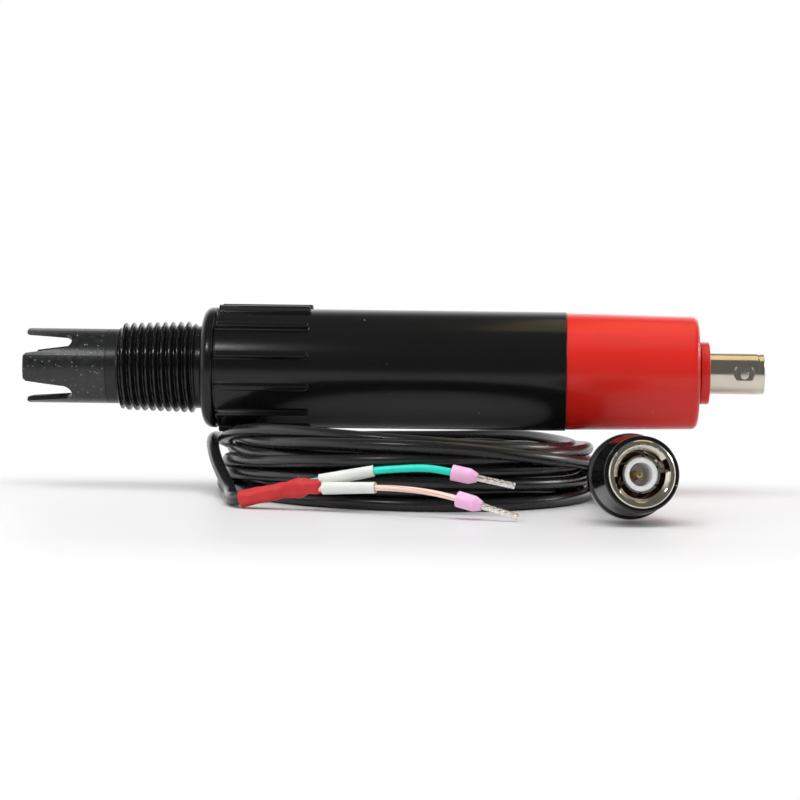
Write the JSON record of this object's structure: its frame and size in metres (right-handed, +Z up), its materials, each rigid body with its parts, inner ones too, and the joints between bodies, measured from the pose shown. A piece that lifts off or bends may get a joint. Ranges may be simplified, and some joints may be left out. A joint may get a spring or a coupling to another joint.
{
  "type": "redox sensor",
  "caption": "Redox sensor with a slotted guard, a taper pipe thread and a bayonet jack, lying on its own coiled lead with a bayonet plug and two wire ends.",
  "frame": {"origin": "on the sensor's axis, where the pipe thread meets the shoulder", "axes": "+X along the sensor from its slotted tip to its jack, +Z up as it lies on its lead"},
  "size_m": [0.1702, 0.114, 0.0424],
  "materials": {
    "guard_plastic": "moulded, slightly scuffed",
    "black_plastic": "polished moulding",
    "red_plastic": "satin gloss moulding",
    "ceramic": "porous",
    "clear_glass": "polished",
    "platinum": "polished",
    "copper": "bare wire",
    "gel": "clear gel",
    "silver": "bare wire",
    "grey_plastic": "moulded",
    "seal_rubber": "smooth",
    "resin": "cast",
    "nickel": "nickel plated",
    "white_insulator": "turned",
    "gold": "gold plated",
    "gasket_rubber": "smooth",
    "spring_steel": "bright",
    "black_grip": "glossy moulding",
    "black_cable": "extruded jacket",
    "red_sleeve": "shrunk on",
    "white_sleeve": "slightly translucent",
    "green_wire": "extruded",
    "clear_wire": "clear jacket on copper",
    "pink_plastic": "moulded",
    "tinned_copper": "tinned"
  },
  "bodies": {
    "sensor_and_lead": {"guard": "guard_plastic", "housing": "black_plastic", "end_cap": "red_plastic", "junction_ring": "ceramic", "electrode_stem": "clear_glass", "platinum_tip": "platinum", "signal_wire": "copper", "gel_fill": "gel", "reference_wire": "silver", "shield_wire": "silver", "rear_seal": "grey_plastic", "seal_ring_front": "seal_rubber", "seal_ring_rear": "seal_rubber", "potting": "resin", "jack_shell": "nickel", "jack_insulator": "white_insulator", "jack_contact": "gold", "solder_tag": "nickel", "jack_nut": "nickel", "plug_body": "nickel", "plug_insulator": "white_insulator", "plug_pin": "gold", "plug_gasket": "gasket_rubber", "wave_washer": "spring_steel", "crimp_ferrule": "nickel", "cable_boot": "black_grip", "cable_coil": "black_cable", "cable_to_plug": "black_cable", "cable_to_splice": "black_cable", "splice_sleeve": "red_sleeve", "marker_sleeve_a": "white_sleeve", "marker_sleeve_b": "white_sleeve", "green_wire": "green_wire", "clear_wire": "clear_wire", "ferrule_collar_a": "pink_plastic", "ferrule_collar_b": "pink_plastic", "ferrule_pin_a": "tinned_copper", "ferrule_pin_b": "tinned_copper"},
    "spring_follower": {"thrust_washer": "spring_steel"},
    "bayonet_nut": {"coupling_nut": "nickel", "snap_ring": "spring_steel", "nut_cover": "black_grip"}
  },
  "joints": [
    {"name": "nut_pull", "type": "slide", "parent": "sensor_and_lead", "child": "spring_follower", "axis": [0.1789, -0.9749, 0.1323], "range_m": [0, 0.0005], "stiffness_N_per_m": 4000, "deforming": ["wave_washer"]},
    {"name": "nut_turn", "type": "hinge", "parent": "spring_follower", "child": "bayonet_nut", "pos_m": [0.0984, -0.073, -0.01685], "axis": [0.1789, -0.9749, 0.1323], "continuous": true}
  ]
}
